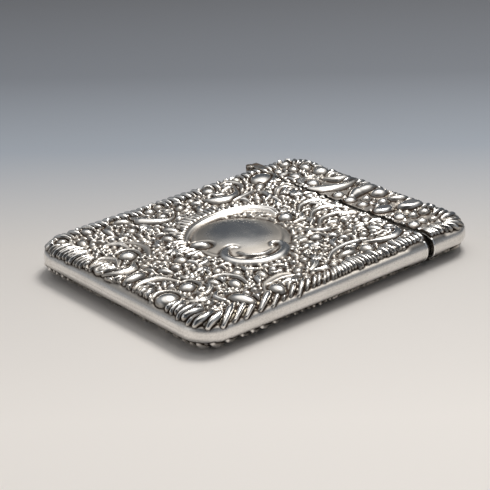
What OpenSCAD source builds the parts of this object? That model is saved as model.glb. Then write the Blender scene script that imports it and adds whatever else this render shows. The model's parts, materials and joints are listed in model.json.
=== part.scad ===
// Card case: a flat silver case with half-round edges and a hinged end cap.
// It lies on its back face. The origin is in that face, under the middle of
// the closed case. +X runs towards the lid, and +Y towards the hinge.

/* [Case] */
// Length of the closed case, lid included
case_length = 100; // [84:1:120]
// Width of the case, without the hinge
case_width = 75; // [60:1:90]
// Thickness of the case over its raised pattern
case_thickness = 10; // [8.5:0.5:12]
// Corner radius, seen from above
corner_radius = 9; // [7.5:0.5:14]
// Wall, from the top of the raised pattern to the inside of the sheet
wall = 1.2; // [0.9:0.1:1.5]

/* [Lid] */
// Length of the lid
lid_length = 19; // [15:1:30]
// Gap between the body and the closed lid
mouth_gap = 0.15; // [0.1:0.05:0.4]
// Width of the plain rim around each mouth
rim_width = 0.8; // [0.5:0.1:1.5]
// Angle by which the lid stands open
lid_ajar = 1.7; // [0:0.1:4]

/* [Collar] */
// Length of collar that stands out of the body
collar_reach = 3.5; // [2:0.5:6]
// Length of collar that is soldered inside the body
collar_seat = 5; // [3:0.5:10]
// Thickness of the collar where the lid slides over it
collar_wall = 0.4; // [0.3:0.05:0.6]
// Clearance between the collar and the inside of the lid
collar_gap = 0.2; // [0.15:0.05:0.3]

/* [Hinge] */
// Outer radius of the knuckles
knuckle_radius = 1.3; // [1:0.1:1.6]
// Height of the middle knuckle, along the pin
middle_knuckle = 4; // [3:0.5:5]
// Gap from knuckle to knuckle, along the pin
knuckle_gap = 0.2; // [0.1:0.05:0.3]
// Clearance around the knuckles where the case is notched for them
notch_gap = 0.25; // [0.2:0.05:0.5]
// Distance from each end of the hinge to the face of the case
hinge_inset = 0.4; // [0.2:0.1:1]
// Distance of the hinge's axis from the lid's mouth
hinge_offset = 0.5; // [0.3:0.1:0.7]
// Distance from the inside of the wall out to the knuckles
hinge_stand_off = 0.3; // [0.2:0.1:0.6]
// Length of each bearer, from the hinge's axis along the case
bearer_length = 3.2; // [2:0.1:4]
// How far the bearers reach outwards, past the hinge's axis
bearer_reach = 0.5; // [0.3:0.1:0.9]
// Radius of the hinge pin
pin_radius = 0.5; // [0.4:0.05:0.7]
// Radial clearance of the pin in the middle knuckle
pin_clearance = 0.04; // [0.02:0.01:0.08]

/* [Hidden] */
$fn = 96;

silver = "silver";
dark_silver = "dimgray";

// Places of the two mouths along the case, with the lid closed
lid_mouth_x = case_length / 2 - lid_length;
body_mouth_x = lid_mouth_x - mouth_gap;

// The seam between the front and back shells
seam_z = case_thickness / 2;

// The hinge's axis, which is parallel to Z
hinge_x = lid_mouth_x + hinge_offset;
hinge_y = case_width / 2 - wall + hinge_stand_off + knuckle_radius;

// Heights of the knuckles
hinge_bottom_z = hinge_inset;
hinge_top_z = case_thickness - hinge_inset;
middle_bottom_z = seam_z - middle_knuckle / 2;
middle_top_z = seam_z + middle_knuckle / 2;
front_bottom_z = middle_top_z + knuckle_gap;
back_top_z = middle_bottom_z - knuckle_gap;

// Larger than the whole case, for cutting it into its pieces
beyond = 2 * (case_length + case_width);

// Half of the slab's cross-section: flat for a distance, then half-round
module edge_section(flat, thickness) {
    square([flat, thickness]);
    translate([flat, thickness / 2])
        intersection() {
            circle(r = thickness / 2);
            translate([0, -thickness / 2])
                square([thickness / 2, thickness]);
        }
}

// The closed case as a solid, taken in all round by a distance
module case_slab(inset) {
    length = case_length - 2 * inset;
    width = case_width - 2 * inset;
    thickness = case_thickness - 2 * inset;
    corner = corner_radius - inset;
    flat = corner - thickness / 2;

    translate([0, 0, inset]) {
        translate([corner - length / 2, corner - width / 2, 0])
            cube([length - 2 * corner, width - 2 * corner, thickness]);
        for (side = [0 : 3]) {
            across = side % 2 == 0 ? length : width;
            along = side % 2 == 0 ? width : length;
            rotate(90 * side)
                translate([across / 2 - corner, 0, 0]) {
                    rotate([90, 0, 0])
                        linear_extrude(along - 2 * corner, center = true)
                            edge_section(flat, thickness);
                    translate([0, along / 2 - corner, 0])
                        rotate_extrude(angle = 90)
                            edge_section(flat, thickness);
                }
        }
    }
}

// Everything from one place to another along the case, between two heights
module slice(from_x, to_x, from_z, to_z) {
    translate([from_x, -beyond / 2, from_z])
        cube([to_x - from_x, beyond, to_z - from_z]);
}

// The wall of the case between two places along it and two heights
module case_wall(from_x, to_x, from_z, to_z) {
    difference() {
        intersection() {
            case_slab(0);
            slice(from_x, to_x, from_z, to_z);
        }
        case_slab(wall);
        hinge_notch();
    }
}

// The room cut into the walls for the knuckles
module hinge_notch() {
    translate([hinge_x, hinge_y, -1])
        cylinder(r = knuckle_radius + notch_gap, h = case_thickness + 2);
}

// Swings a piece of the closed lid to where the lid stands
module swung_with_lid() {
    translate([hinge_x, hinge_y, 0])
        rotate(lid_ajar)
            translate([-hinge_x, -hinge_y, 0])
                children();
}

// One knuckle: a tube around the pin
module knuckle(from_z, to_z, bore_radius) {
    translate([hinge_x, hinge_y, from_z])
        difference() {
            cylinder(r = knuckle_radius, h = to_z - from_z);
            translate([0, 0, -1])
                cylinder(r = bore_radius, h = to_z - from_z + 2);
        }
}

// The block between a knuckle and the curved side of the case.
// side is 1 for a block on the lid, and -1 for one on the body.
module bearer(from_z, to_z, side) {
    inner_y = case_width / 2 - corner_radius;
    start_x = side > 0 ? hinge_x : hinge_x - bearer_length;
    difference() {
        translate([start_x, inner_y, from_z])
            cube([bearer_length, hinge_y + bearer_reach - inner_y, to_z - from_z]);
        case_slab(0);
        translate([hinge_x, hinge_y, from_z - 1])
            cylinder(r = knuckle_radius, h = to_z - from_z + 2);
    }
}

module body_front_shell() {
    color(silver)
        case_wall(-beyond, body_mouth_x - rim_width, seam_z, beyond);
}

module body_back_shell() {
    color(silver)
        case_wall(-beyond, body_mouth_x - rim_width, -beyond, seam_z);
}

module body_mouth_rim() {
    color(silver)
        case_wall(body_mouth_x - rim_width, body_mouth_x, -beyond, beyond);
}

// The collar fits the inside of the body, and steps in where the lid slides over it
module body_collar() {
    color(dark_silver)
        difference() {
            union() {
                intersection() {
                    case_slab(wall);
                    slice(body_mouth_x - collar_seat, body_mouth_x, -beyond, beyond);
                }
                intersection() {
                    case_slab(wall + collar_gap);
                    slice(body_mouth_x, body_mouth_x + collar_reach, -beyond, beyond);
                }
            }
            case_slab(wall + collar_gap + collar_wall);
            hinge_notch();
        }
}

module body_hinge_bearer() {
    color(silver)
        bearer(middle_bottom_z, middle_top_z, -1);
}

module body_hinge_knuckle() {
    color(silver)
        knuckle(middle_bottom_z, middle_top_z, pin_radius + pin_clearance);
}

module lid_front_shell() {
    color(silver)
        swung_with_lid()
            case_wall(lid_mouth_x + rim_width, beyond, seam_z, beyond);
}

module lid_back_shell() {
    color(silver)
        swung_with_lid()
            case_wall(lid_mouth_x + rim_width, beyond, -beyond, seam_z);
}

module lid_mouth_rim() {
    color(silver)
        swung_with_lid()
            case_wall(lid_mouth_x, lid_mouth_x + rim_width, -beyond, beyond);
}

module lid_hinge_bearer_front() {
    color(silver)
        swung_with_lid()
            bearer(front_bottom_z, hinge_top_z, 1);
}

module lid_hinge_bearer_back() {
    color(silver)
        swung_with_lid()
            bearer(hinge_bottom_z, back_top_z, 1);
}

module lid_hinge_knuckle_front() {
    color(silver)
        knuckle(front_bottom_z, hinge_top_z, pin_radius);
}

module lid_hinge_knuckle_back() {
    color(silver)
        knuckle(hinge_bottom_z, back_top_z, pin_radius);
}

module hinge_pin() {
    color(dark_silver)
        translate([hinge_x, hinge_y, hinge_bottom_z])
            cylinder(r = pin_radius, h = hinge_top_z - hinge_bottom_z);
}

body_front_shell();
body_back_shell();
body_mouth_rim();
body_collar();
body_hinge_bearer();
body_hinge_knuckle();
lid_front_shell();
lid_back_shell();
lid_mouth_rim();
lid_hinge_bearer_front();
lid_hinge_bearer_back();
lid_hinge_knuckle_front();
lid_hinge_knuckle_back();
hinge_pin();
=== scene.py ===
"""The silver card case, dressed to match its portrait.

Lengths are in millimetres in the case's own frame, and are turned into metres where a mesh is made.
"""

import json
import math

import bmesh
import bpy
import numpy as np
from mathutils import Matrix, Vector


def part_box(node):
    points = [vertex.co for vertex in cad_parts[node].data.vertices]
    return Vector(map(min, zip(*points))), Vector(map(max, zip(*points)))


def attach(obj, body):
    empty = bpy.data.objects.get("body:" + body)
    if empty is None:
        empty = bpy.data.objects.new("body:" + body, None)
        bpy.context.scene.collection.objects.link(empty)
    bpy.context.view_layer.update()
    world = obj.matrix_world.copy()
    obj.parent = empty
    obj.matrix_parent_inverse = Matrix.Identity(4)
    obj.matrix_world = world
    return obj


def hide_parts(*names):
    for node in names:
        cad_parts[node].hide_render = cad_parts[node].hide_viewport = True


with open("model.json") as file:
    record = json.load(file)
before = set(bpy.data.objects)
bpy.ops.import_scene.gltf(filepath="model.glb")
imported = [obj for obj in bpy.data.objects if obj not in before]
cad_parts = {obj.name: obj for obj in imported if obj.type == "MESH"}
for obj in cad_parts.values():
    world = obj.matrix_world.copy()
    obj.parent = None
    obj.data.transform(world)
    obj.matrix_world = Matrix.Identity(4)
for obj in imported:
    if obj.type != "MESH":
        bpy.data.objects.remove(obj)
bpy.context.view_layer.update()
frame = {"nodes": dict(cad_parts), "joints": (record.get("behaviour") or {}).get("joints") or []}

MM = 0.001


def node_box(node):
    """The lowest and highest corner of a CAD node, in millimetres."""
    low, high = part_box(node)
    return np.array(low) / MM, np.array(high) / MM


# ---------------------------------------------------------------- sizes that the frame gives
HINGE = np.array(frame["joints"][0]["pos_m"]) / MM
AJAR = -frame["joints"][0]["range_deg"][0]           # degrees by which the lid stands open
BODY_LOW, _ = node_box("body_front_shell")
RIM_LOW, RIM_HIGH = node_box("body_mouth_rim")
CASE_LENGTH = -2 * BODY_LOW[0]
CASE_WIDTH = -2 * BODY_LOW[1]
SEAM_Z = BODY_LOW[2]
BODY_MOUTH = RIM_HIGH[0]
LID_MOUTH = 31.0          # where the lid's relief ends at its mouth, with the lid shut
RIM_WIDTH = RIM_HIGH[0] - RIM_LOW[0]
KNUCKLE_LOW, KNUCKLE_HIGH = node_box("body_hinge_knuckle")
KNUCKLE_RADIUS = (KNUCKLE_HIGH[0] - KNUCKLE_LOW[0]) / 2

# ---------------------------------------------------------------- the sheet that is embossed
# Each face is one sheet, flat in the middle and rolled down to the seam all round. Its plain surface
# lies inside the solids, because the relief stands up to them.
CORE_U = 41.0             # half of the part between the corners' centres
CORE_V = CORE_U - (CASE_LENGTH - CASE_WIDTH) / 2
FLAT = 3.5                # flat border beyond that part
ROLL = CASE_LENGTH / 2 - 0.1 - CORE_U - FLAT          # how far the rolled edge reaches outwards
RISE = 4.0                # height of the flat above the seam
ARC = 7.75                # length of the rolled edge from the flat to the seam
FULLNESS = 2.35           # of the rolled edge's profile: 2 is an ellipse
SEAM_DEPTH = 0.06
HALF_U = CORE_U + FLAT + ARC
HALF_V = CORE_V + FLAT + ARC
HIGHEST = 0.97            # height of the highest relief over the plain surface
DEEPER = 0.5              # how much deeper the relief is away from the mouth
INNER_DEPTH = 0.45        # from the plain surface to the inside of the sheet
COLLAR_MIDDLE = 30.2      # of the collar's length, along the case
COLLAR_COVER = 0.15       # from the plain surface to the inside of the sheet, over the collar
RELIEF_FADE = (4.8, 2.4)  # from that middle to where the relief deepens, and over what width
LINING_FADE = (4.55, 1.2)                             # the same, for the inside of the sheet
MOUTH_GAP = 0.04          # from the end of a face to the edge of its mouth
KNUCKLE_ROOM = 0.25       # round the knuckles, in the side band and the body's rim
SEAM_FROM = 0.97          # share of the rolled edge where the seam's groove begins
GRID = 0.27               # spacing of the embossed meshes
COARSE = 4                # the inside has one line of points for so many outside

# ---------------------------------------------------------------- the rims and the hinge
WALL = 1.2                # of the CAD's shells
RIM_INSET = 0.5           # how much farther in a rim's inside lies at the seam than on the faces
RIM_SUNK = 0.16           # below the plain surface, on the faces
RIM_PROUD = 0.10          # above it, on the side band
HINGE_SIDE = 30           # the places across the case beyond which the body's rim makes room
PIN_RADIUS = 0.5
PIN_CLEARANCE = 0.04
PIN_DOME = 0.16           # height of the pin's hammered ends
BEARER_REACH = 0.5        # of the bearers, beyond the hinge's axis
BEARER_SINK = 0.15        # of the bearers into the rolled edge
BEARER_CORNER = 0.35      # radius of their outer corner

# ---------------------------------------------------------------- a shell's map, in shares of its height
SKIN_HEIGHT = 0.80
WALL_LOW, WALL_HIGH = 0.806, 0.824
LINING_LOW, LINING_HEIGHT = 0.83, 0.16


# ---------------------------------------------------------------- the relief
# The embossing is drawn as heights over the unrolled face, in millimetres. u runs along the case and
# v across it, and both are the plan's own x and y as far in as the face is flat.

STEP = 0.1                # spacing of the drawing's points
SEED = 7
GROUND = 0.0              # height of the plain sheet
DEEP = -0.12              # bottom of the grooves around raised shapes
BEAD_TOP = 0.58           # top of the small fill
TOP = 0.8                 # top of the largest shapes
BULGE = 0.72              # how full the shapes are: half an ellipse at 0.5, and a parabola at 1
STEEP = 0.55              # height of a shape over its foot, for each millimetre of its half-width


def smooth(t):
    """A soft step from 0 to 1."""
    t = np.clip(t, 0, 1)
    return t * t * (3 - 2 * t)


def spline(points, per_span=14):
    """A smooth curve through a few points, by Catmull-Rom."""
    p = np.array(points, float)
    p = np.vstack([2 * p[0] - p[1], p, 2 * p[-1] - p[-2]])
    t = np.linspace(0, 1, per_span, endpoint=False)[:, None]
    spans = []
    for a, b, c, d in zip(p[:-3], p[1:-2], p[2:-1], p[3:]):
        spans.append(0.5 * (2 * b + (c - a) * t + (2 * a - 5 * b + 4 * c - d) * t**2
                            + (3 * b - a - 3 * c + d) * t**3))
    return np.vstack(spans + [p[-2:-1]])


def oval_places(gu, gv, u, v, along, across, turn):
    """Places in an oval's own axes, in which its outline is the circle of radius 1."""
    c, s = np.cos(np.radians(turn)), np.sin(np.radians(turn))
    return ((gu - u) * c + (gv - v) * s) / along, ((gv - v) * c - (gu - u) * s) / across


class Relief:
    """Heights of the embossing on a fine grid, built up by laying one shape over another."""

    def __init__(self, half_u, half_v):
        self.u0, self.v0 = -half_u, -half_v
        self.count_u = int(round(2 * half_u / STEP)) + 1
        self.count_v = int(round(2 * half_v / STEP)) + 1
        self.height = np.full((self.count_v, self.count_u), GROUND)

    def window(self, low, high):
        """The part of the grid between two corners, as slices and coordinates, or None."""
        i0 = max(int((low[0] - self.u0) / STEP), 0)
        i1 = min(int((high[0] - self.u0) / STEP) + 2, self.count_u)
        j0 = max(int((low[1] - self.v0) / STEP), 0)
        j1 = min(int((high[1] - self.v0) / STEP) + 2, self.count_v)
        if i0 >= i1 or j0 >= j1:
            return None
        u = self.u0 + STEP * np.arange(i0, i1)
        v = self.v0 + STEP * np.arange(j0, j1)
        return (slice(j0, j1), slice(i0, i1)), *np.meshgrid(u, v)

    def lay(self, part, outside, height, moat, foot):
        """Lays a shape over what is there. outside is the distance in mm beyond its outline, below 0
        inside it. Its foot is at its own height, in a groove as wide as moat."""
        old = self.height[part]
        new = np.where(outside < 0, height, old)
        if moat > 0:
            groove = (outside >= 0) & (outside < moat)
            new = np.where(groove, foot + (old - foot) * smooth(outside / moat), new)
        self.height[part] = new

    def dome(self, u, v, along, across, turn=0, top=TOP, moat=0.45, flat=0.0, steep=STEEP):
        """An oval dome. turn is in degrees, and flat is the share of it that is level on top."""
        reach = max(along, across) + moat + STEP
        found = self.window((u - reach, v - reach), (u + reach, v + reach))
        if found is None:
            return
        part, gu, gv = found
        d = np.hypot(*oval_places(gu, gv, u, v, along, across, turn))
        edge = np.clip((d - flat) / (1 - flat), 0, 1)
        foot = max(top - steep * min(along, across), DEEP)
        height = foot + (top - foot) * np.clip(1 - edge**2, 0, 1) ** BULGE
        self.lay(part, (d - 1) * min(along, across), height, moat, foot)

    def crown(self, u, v, along, across, turn, low, high, lean):
        """A wide, gently rounded field with a crisp edge. lean raises its far side."""
        reach = max(along, across) + 1
        part, gu, gv = self.window((u - reach, v - reach), (u + reach, v + reach))
        x, y = oval_places(gu, gv, u, v, along, across, turn)
        d = np.hypot(x, y)
        height = low + (high - low) * np.clip(1 - d * d, 0, 1) + lean * y
        self.lay(part, (d - 1) * across, height, 0.6, low)

    def bead(self, u, v, radius, top):
        """A small round bead, which never lowers what is there."""
        reach = radius + STEP
        part, gu, gv = self.window((u - reach, v - reach), (u + reach, v + reach))
        x, y = (gu - u) / radius, (gv - v) / radius
        inside = np.clip(1 - x * x - y * y, 0, 1)
        height = top * inside**BULGE
        old = self.height[part]
        self.height[part] = np.where(inside > 0, np.maximum(old, height), old)

    def stroke(self, points, widths, top=TOP, moat=0.45, section="round", steep=STEEP):
        """A scroll or leaf that follows a curve. widths are its half-widths, spread evenly along it.
        section is the shape across it: round, trough (raised edges), ridges (two mouldings) or leaf
        (fine lines along it)."""
        curve = spline(points)
        along = np.linspace(0, 1, len(curve))
        half = np.interp(along, np.linspace(0, 1, len(widths)), widths)
        half = np.maximum(half, 0.06)
        reach = max(widths) + moat + STEP
        found = self.window(curve.min(0) - reach, curve.max(0) + reach)
        if found is None:
            return
        part, gu, gv = found
        best = np.full(gu.shape, 1e9)
        side = np.zeros(gu.shape)
        width = np.ones(gu.shape)
        for a, b, wa, wb in zip(curve[:-1], curve[1:], half[:-1], half[1:]):
            d = b - a
            t = np.clip(((gu - a[0]) * d[0] + (gv - a[1]) * d[1]) / max(d @ d, 1e-9), 0, 1)
            ru, rv = gu - a[0] - t * d[0], gv - a[1] - t * d[1]
            w = wa + (wb - wa) * t
            out = np.hypot(ru, rv) - w
            near = out < best
            best = np.where(near, out, best)
            side = np.where(near, np.sign(d[0] * rv - d[1] * ru) * np.hypot(ru, rv) / w, side)
            width = np.where(near, w, width)
        q = np.clip(np.abs(side), 0, 1)
        round_top = (1 - q**2) ** BULGE
        if section == "trough":
            shape = round_top**0.5 * (0.55 + 0.45 * np.clip(side, -1, 1) ** 2 + 0.15 * side)
        elif section == "ridges":
            shape = round_top**0.6 * (0.72 + 0.28 * np.cos(2 * np.pi * (side * 1.25 + 0.25)))
        elif section == "leaf":
            shape = round_top * (0.84 + 0.16 * np.cos(5 * np.pi * side))
        else:
            shape = round_top
        fade = np.clip(width / max(widths), 0.35, 1) ** 0.5
        foot = max(top - steep * max(widths), DEEP)
        height = foot + (top - foot) * shape * fade
        self.lay(part, best, height, moat, foot)

    def groove(self, points, half, depth):
        """Cuts a line into whatever is there."""
        curve = spline(points, 8)
        found = self.window(curve.min(0) - half, curve.max(0) + half)
        if found is None:
            return
        part, gu, gv = found
        away = np.full(gu.shape, 1e9)
        for a, b in zip(curve[:-1], curve[1:]):
            d = b - a
            t = np.clip(((gu - a[0]) * d[0] + (gv - a[1]) * d[1]) / max(d @ d, 1e-9), 0, 1)
            away = np.minimum(away, np.hypot(gu - a[0] - t * d[0], gv - a[1] - t * d[1]))
        self.height[part] -= depth * smooth(1 - away / half)

    def fan(self, u, v, turn, spread, length, count, half, top):
        """A striated leaf: ridges that part from one foot and bend over at their tips."""
        for k in range(count):
            share = k / (count - 1) - 0.5
            a = np.radians(turn + spread * share)
            bend = np.radians(turn + spread * share * 1.9 + 25)
            size = length * (1 - 0.9 * share * share)
            foot = np.array([u, v]) + 0.35 * half * np.array([-np.sin(a), np.cos(a)]) * (k - count / 2)
            middle = foot + 0.55 * size * np.array([np.cos(a), np.sin(a)])
            tip = middle + 0.45 * size * np.array([np.cos(bend), np.sin(bend)])
            self.stroke([foot, middle, tip], [half * 0.6, half, half * 0.9, half * 0.4], top, 0.12)

    def hooded(self, u, v, radius, turn, top):
        """A dome with a curl cut into it and a thin ring half round it."""
        self.ring(u, v, radius * 1.45, radius * 0.16, turn - 95, turn + 95, top * 0.75)
        self.dome(u, v, radius, radius * 0.86, turn, top, moat=0.3)
        a = np.radians(turn)
        side = np.array([-np.sin(a), np.cos(a)])
        out = np.array([np.cos(a), np.sin(a)])
        at = np.array([u, v])
        self.groove([at - side * 0.5 * radius, at + out * 0.2 * radius, at + side * 0.35 * radius],
                    radius * 0.16, 0.12)

    def ring(self, u, v, radius, half, start, end, top):
        """Part of a ring, from one angle to another in degrees, tapering to its ends."""
        turns = np.radians(np.linspace(start, end, 7))
        points = np.column_stack([u + radius * np.cos(turns), v + radius * np.sin(turns)])
        self.stroke(points, [0.1, half, half, 0.1], top, 0.3)

    def volute(self, u, v, radius, start, turns, half, top):
        """A scroll's end: a spiral that winds in to a bead."""
        t = np.linspace(0, 1, 10)
        angle = np.radians(start) + 2 * np.pi * turns * t
        r = radius * (1 - 0.82 * t)
        points = np.column_stack([u + r * np.cos(angle), v + r * np.sin(angle)])
        self.stroke(points, [half, half * 0.8, half * 0.6], top, 0.3)
        self.dome(u, v, half * 0.8, half * 0.8, 0, top, moat=0.1)

    def eased(self, u, v, radius):
        """Softens a round part of the drawing."""
        part, gu, gv = self.window((u - radius, v - radius), (u + radius, v + radius))
        share = smooth((radius - np.hypot(gu - u, gv - v)) / 2)
        self.height[part] += share * (blurred(self.height[part], 2) - self.height[part])

    def between(self, values, u, v):
        """Values at any places, between the grid's points."""
        x = np.clip((u - self.u0) / STEP, 0, self.count_u - 1.001)
        y = np.clip((v - self.v0) / STEP, 0, self.count_v - 1.001)
        i, j = x.astype(int), y.astype(int)
        x, y = x - i, y - j
        low = values[j, i] * (1 - x) + values[j, i + 1] * x
        high = values[j + 1, i] * (1 - x) + values[j + 1, i + 1] * x
        return low * (1 - y) + high * y

    def finish(self):
        """Softens the drawing a little, and works out where its hollows are."""
        self.height = blurred(self.height, 1)
        self.soft = blurred(self.height, 5)
        self.hollow = np.clip(0.5 + (blurred(self.height, 7) - self.height) / 0.6, 0, 1)

    def sampled(self, u, v):
        """Heights at any places."""
        return self.between(self.height, u, v)

    def softened(self, u, v):
        """Heights as they show on the inside of the sheet."""
        return self.between(self.soft, u, v)

    def hollows(self, u, v):
        """How deep in a hollow a place is: half is level, and 1 is deepest."""
        return self.between(self.hollow, u, v)


def blurred(height, radius):
    """The heights averaged over a square of that many cells each way, twice."""
    for _ in range(2):
        for axis in (0, 1):
            pad = [(0, 0), (0, 0)]
            pad[axis] = (radius + 1, radius)
            total = np.cumsum(np.pad(height, pad, mode="edge"), axis=axis)
            take = [slice(None), slice(None)]
            drop = [slice(None), slice(None)]
            take[axis] = slice(2 * radius + 1, None)
            drop[axis] = slice(None, -(2 * radius + 1))
            height = (total[tuple(take)] - total[tuple(drop)]) / (2 * radius + 1)
    return height


CARTOUCHE = (-4.5, -1.5)          # centre of the plain dome

# Domes: place, half-length, half-width, turn in degrees, top
DOMES = [
    (9.2, -15.2, 1.9, 1.6, 0, 0.8),
    (-36.4, 10.8, 2.5, 2.3, 0, 0.85), (-45.2, -17.4, 3.1, 2.7, 10, 0.85), (-37.0, -15.6, 2.5, 2.1, 15, 0.8),
    (-26.6, -22.4, 1.7, 2.5, -15, 0.75), (-31.2, -30.4, 2.2, 3.6, 20, 0.85),
    (-20.6, -32.0, 2.0, 2.5, -10, 0.8),
    (-28.2, -28.8, 1.1, 1.3, 0, 0.6), (-25.4, -28.8, 1.1, 1.0, 0, 0.6), (-43.4, -1.6, 3.6, 1.6, 5, 0.8),
    (-35.2, -4.2, 1.3, 2.4, 25, 0.7), (-31.4, -4.0, 1.5, 1.6, 0, 0.65), (-27.4, -1.0, 1.9, 1.9, 0, 0.6),
    (-30.4, 27.4, 1.2, 2.8, -8, 0.7),
    (-34.8, 31.6, 1.6, 1.9, 0, 0.7), (-25.2, 23.6, 1.8, 1.4, 10, 0.6), (-23.4, 30.6, 2.6, 1.5, -30, 0.7),
    (-12.6, 25.6, 1.7, 1.3, 0, 0.7), (-13.0, 31.0, 1.8, 1.5, 10, 0.7), (9.4, 31.4, 2.0, 1.8, 0, 0.75),
    (27.6, 28.6, 4.0, 2.7, 25, 0.85), (23.2, 24.2, 2.0, 1.4, 40, 0.6), (21.6, 33.0, 1.5, 1.3, 0, 0.6),
    (8.2, -28.6, 2.9, 1.4, -5, 0.7), (14.6, -29.6, 2.0, 2.2, 0, 0.7), (25.6, -21.6, 1.5, 2.2, 20, 0.65),
    (20.6, -22.4, 1.5, 1.2, 0, 0.55), (28.2, -15.6, 1.7, 1.2, 35, 0.55), (0.6, -31.2, 1.4, 1.1, 0, 0.5),
    (-9.0, -27.6, 1.7, 1.3, 20, 0.55), (-3.0, -23.6, 1.4, 1.2, 0, 0.5), (-17.6, -22.6, 1.5, 2.0, -10, 0.55),
    (-21.8, -17.6, 1.6, 1.6, 0, 0.55), (-30.2, -18.0, 1.4, 2.0, 20, 0.6), (-24.6, -13.0, 1.7, 1.4, 30, 0.5),
    (-21.0, 12.6, 1.6, 2.0, 20, 0.6),
    (-16.8, 16.6, 1.5, 2.6, 25, 0.65), (-4.6, 27.6, 1.6, 1.3, 20, 0.55), (1.0, 29.6, 1.4, 1.2, 0, 0.5),
    (-40.0, 26.6, 1.5, 2.2, -30, 0.55), (-43.6, 31.0, 1.6, 1.3, 20, 0.55), (-8.6, 32.6, 1.5, 1.2, 0, 0.5),
    # on the lid
    (35.9, 14.9, 2.2, 1.9, 20, 0.85), (44.6, 20.4, 2.6, 2.3, 30, 0.92), (33.8, -2.4, 1.9, 1.6, 0, 0.8),
    (38.1, -4.8, 1.6, 1.4, 0, 0.75), (33.9, -7.4, 1.6, 1.4, 0, 0.7), (34.4, 2.8, 1.9, 1.5, 20, 0.8),
    (44.1, -4.2, 2.5, 2.2, 0, 0.92), (40.0, -9.6, 1.9, 1.6, 20, 0.75), (33.4, -27.6, 1.9, 1.6, 10, 0.75),
    (34.9, -21.0, 2.1, 1.7, 20, 0.8), (38.6, -22.6, 1.7, 1.4, 0, 0.7), (42.9, -23.2, 1.9, 1.5, 0, 0.75),
    (37.2, -27.4, 1.7, 1.4, -20, 0.7), (39.8, 27.4, 1.9, 1.6, 40, 0.7), (35.0, 29.0, 1.7, 1.3, 60, 0.6),
    (43.6, 26.2, 1.8, 2.2, -20, 0.75), (36.4, 22.8, 1.9, 2.2, -30, 0.7), (40.8, 32.0, 1.9, 1.5, 0, 0.7),
]

# Level-topped pillows on the lid, in the same form
PILLOWS = [(35.4, -14.2, 3.7, 2.3, -4, 0.9), (43.4, -17.2, 4.4, 2.7, -16, 0.97)]

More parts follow.
